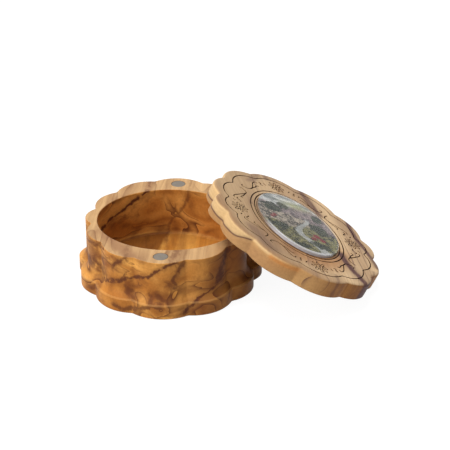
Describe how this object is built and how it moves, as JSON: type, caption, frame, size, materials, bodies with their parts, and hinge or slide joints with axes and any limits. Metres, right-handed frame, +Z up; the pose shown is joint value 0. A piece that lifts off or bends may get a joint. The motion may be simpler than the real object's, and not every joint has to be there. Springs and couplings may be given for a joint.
{
  "type": "rosary box",
  "caption": "Small scalloped oval olive-wood keepsake box with a loose magnetic lid that carries a domed oval picture and engraved scrollwork.",
  "frame": {"origin": "middle of the box's underside, on the surface that it stands on", "axes": "+Z up, +Y along the box's long axis towards its rear magnet, +X across it towards the leaning lid"},
  "size_m": [0.1233, 0.0831, 0.0401],
  "materials": {
    "olive_wood_box": "satin oiled",
    "olive_wood_lid": "satin oiled, with dark engraving",
    "nickel": "dull nickel plating",
    "glue": "cured wood glue",
    "adhesive": "white double-sided film",
    "print": "printed picture on a stiff white plate",
    "clear_resin": "clear, glossy and slightly domed"
  },
  "bodies": {
    "box": {"box_body": "olive_wood_box", "rim_magnet_front": "nickel", "rim_magnet_rear": "nickel", "rim_glue_front": "glue", "rim_glue_rear": "glue"},
    "lid": {"lid_board": "olive_wood_lid", "lid_magnet_front": "nickel", "lid_magnet_rear": "nickel", "lid_glue_front": "glue", "lid_glue_rear": "glue", "picture_adhesive": "adhesive", "picture_print": "print", "picture_cover": "clear_resin"}
  },
  "joints": [
    {"name": "lid_lift", "type": "slide", "parent": "box", "child": "lid", "axis": [0, 0, 1], "range_m": [0, 0.06]}
  ]
}
